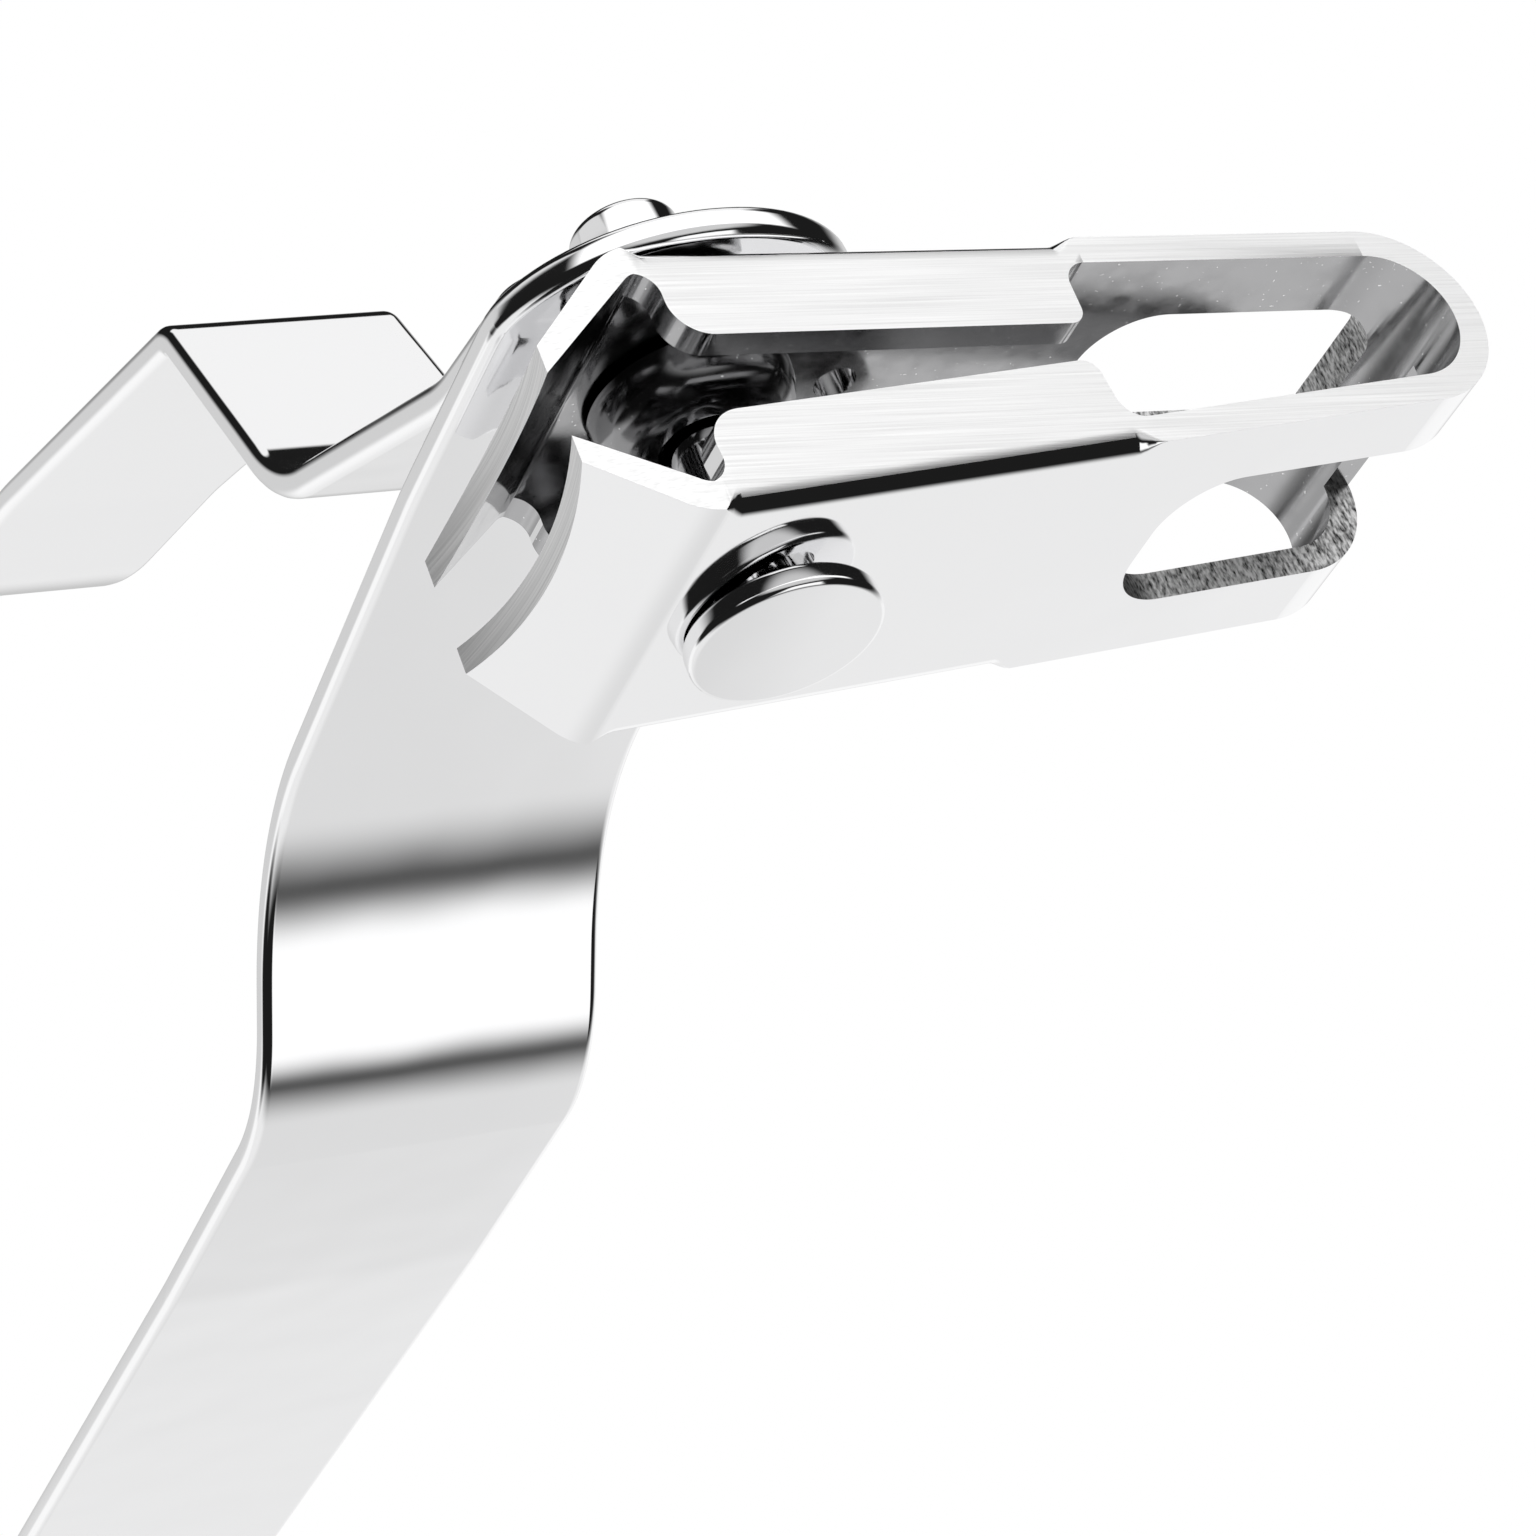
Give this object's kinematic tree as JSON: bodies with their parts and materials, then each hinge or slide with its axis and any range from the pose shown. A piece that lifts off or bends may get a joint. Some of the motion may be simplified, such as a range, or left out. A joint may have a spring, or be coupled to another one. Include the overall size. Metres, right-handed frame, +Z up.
{
  "type": "swivel-head nail clipper",
  "caption": "Nail clipper whose folded spring-steel head swivels on a draw pin between a long base lever and a stepped thumb lever.",
  "frame": {"origin": "on the pin axis, at the flat underside of the pin head", "axes": "+Z up the pin towards the levers, +X from the pin along the levers towards their free ends, +Y across the levers; at rest the head's cutting edges face about +Y and its loop about -Y"},
  "size_m": [0.119, 0.0404, 0.0655],
  "materials": {
    "base_lever": "mirror polished",
    "thumb_lever": "mirror polished",
    "upper_limb": "polished faces, ground edges",
    "lower_limb": "polished faces, ground edges",
    "draw_pin": "polished",
    "swivel_bush": "turned"
  },
  "bodies": {
    "base": {"base_lever": "base_lever", "swivel_bush": "swivel_bush"},
    "head": {"upper_limb": "upper_limb"},
    "lower_jaw": {"lower_limb": "lower_limb"},
    "thumb": {"thumb_lever": "thumb_lever"},
    "pin": {"draw_pin": "draw_pin"}
  },
  "joints": [
    {"name": "head_swivel", "type": "hinge", "parent": "base", "child": "head", "pos_m": [0, 0, 0.0124], "axis": [0, 0, 1], "continuous": true},
    {"name": "thumb_press", "type": "hinge", "parent": "base", "child": "thumb", "pos_m": [0.0047, 0, 0.0163], "axis": [0, 1, 0], "range_deg": [0, 24], "stiffness_Nm_per_rad": 0.6, "springref_deg": -6.88},
    {"name": "pin_lift", "type": "slide", "parent": "base", "child": "pin", "axis": [0, 0, 1], "range_m": [0, 0.0019]},
    {"name": "jaw_flex", "type": "hinge", "parent": "head", "child": "lower_jaw", "pos_m": [0.00163, -0.0263, 0.00833], "axis": [0.9981, 0.0617, 0], "range_deg": [0, 4.2], "stiffness_Nm_per_rad": 1}
  ],
  "couplings": [
    {"joint": "pin_lift", "follows": "thumb_press", "m_per_rad": 0.0044},
    {"joint": "jaw_flex", "follows": "thumb_press", "ratio": 0.165}
  ]
}
